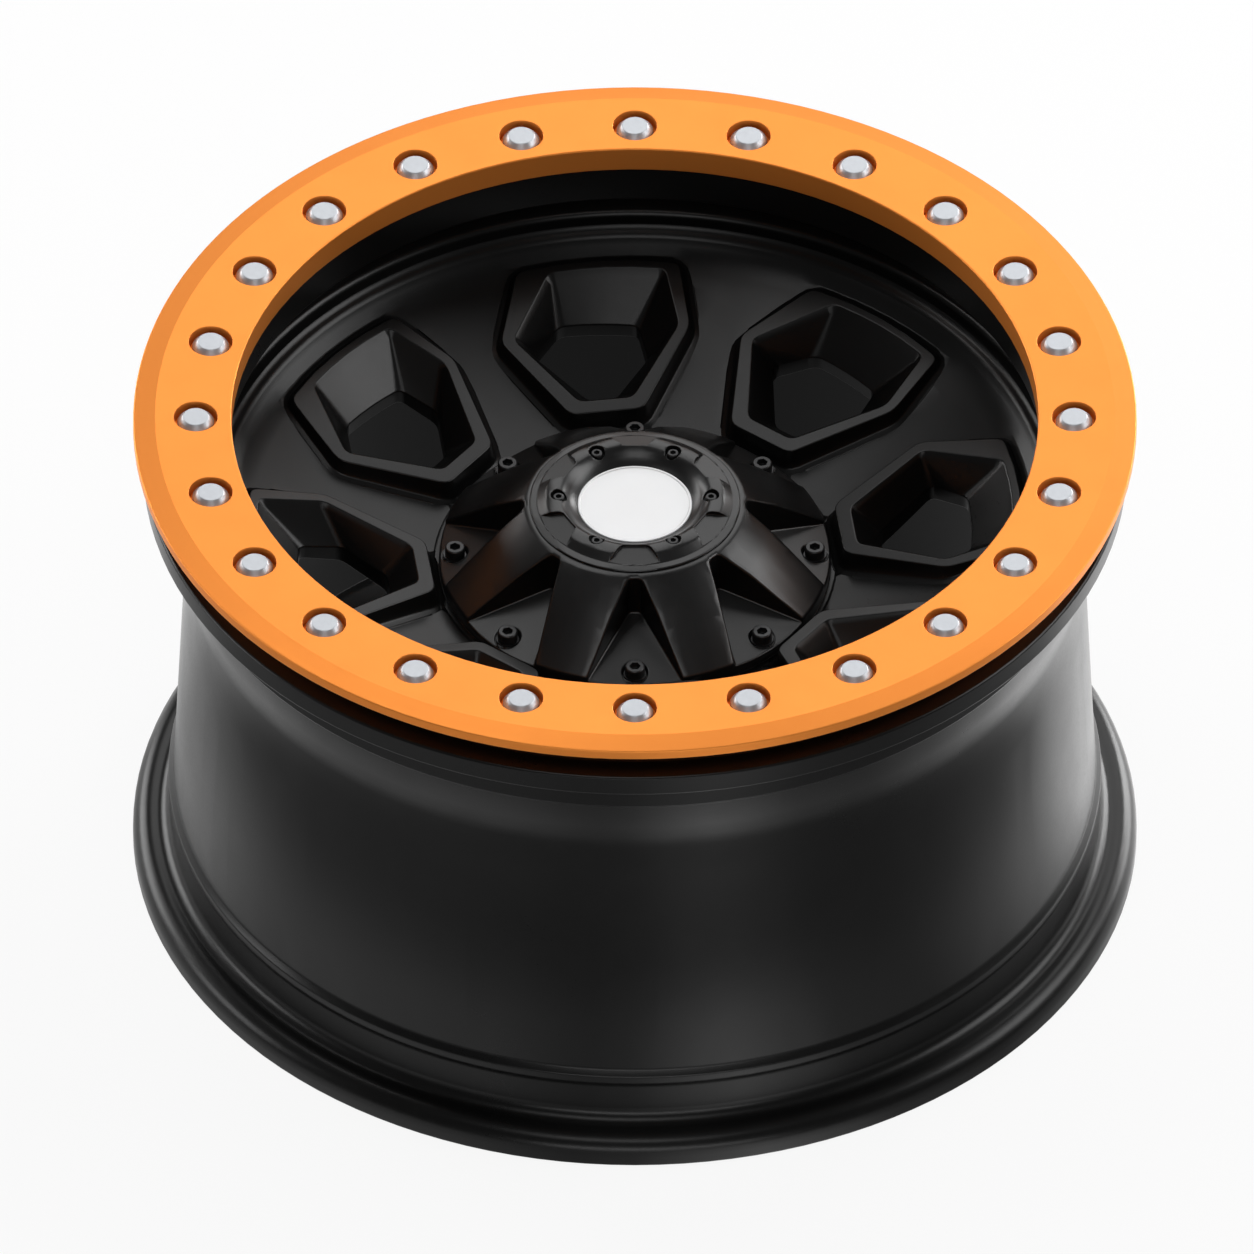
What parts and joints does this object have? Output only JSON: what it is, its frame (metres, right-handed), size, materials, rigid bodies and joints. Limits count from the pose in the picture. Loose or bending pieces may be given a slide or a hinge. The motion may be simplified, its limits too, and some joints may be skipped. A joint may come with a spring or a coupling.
{
  "type": "beadlock wheel",
  "caption": "Off-road beadlock wheel with a bolted clamp ring, hexagonal framed windows in a dished face, a ribbed bolt-on centre cap and a plain centre disc.",
  "frame": {"origin": "centre of the circle on which the rear flange edge stands", "axes": "+Z along the wheel axis from the rear flange to the clamp ring, +Y away from the viewer, +X to the viewer's right"},
  "size_m": [0.4714, 0.4714, 0.262],
  "materials": {
    "black_coat": "satin black powder coat",
    "orange_coat": "satin orange coat",
    "bright_steel": "turned and zinc plated",
    "plain_steel": "plain",
    "cap_coat": "satin black",
    "black_steel": "black oxide",
    "white_disc": "satin white with a bright edge"
  },
  "bodies": {
    "root": {"wheel_casting": "black_coat", "beadlock_ring": "orange_coat", "ring_bolts": "bright_steel", "ring_washers": "bright_steel", "ring_inserts": "plain_steel", "cap_body": "cap_coat", "cap_screws": "black_steel", "cap_washers": "black_steel", "cap_inserts": "plain_steel", "crown": "cap_coat", "crown_screws": "black_steel", "centre_disc": "white_disc"}
  },
  "joints": []
}
